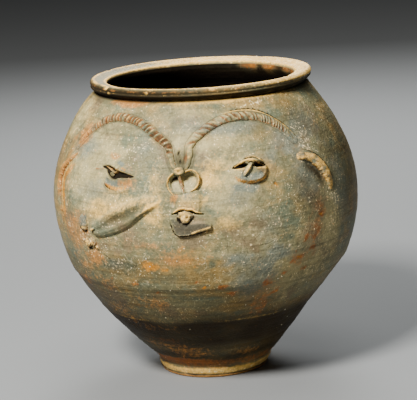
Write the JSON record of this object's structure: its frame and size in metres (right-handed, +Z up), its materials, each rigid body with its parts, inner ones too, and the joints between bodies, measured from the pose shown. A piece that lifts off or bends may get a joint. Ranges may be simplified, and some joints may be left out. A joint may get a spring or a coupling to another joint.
{
  "type": "face urn",
  "caption": "Hollow turned clay urn with a rolled lip, a deep rounded shoulder, a cone-shaped base and an applied human face on the front.",
  "frame": {"origin": "centre of the underside, on the surface that the urn stands on", "axes": "+Z up along the turning axis, -Y out of the middle of the face"},
  "size_m": [0.2642, 0.2689, 0.26],
  "materials": {
    "fired_clay": "unglazed fired clay, smoked grey-green with worn brown and cream edges, faintly burnished"
  },
  "bodies": {
    "root": {"face_urn": "fired_clay"}
  },
  "joints": []
}
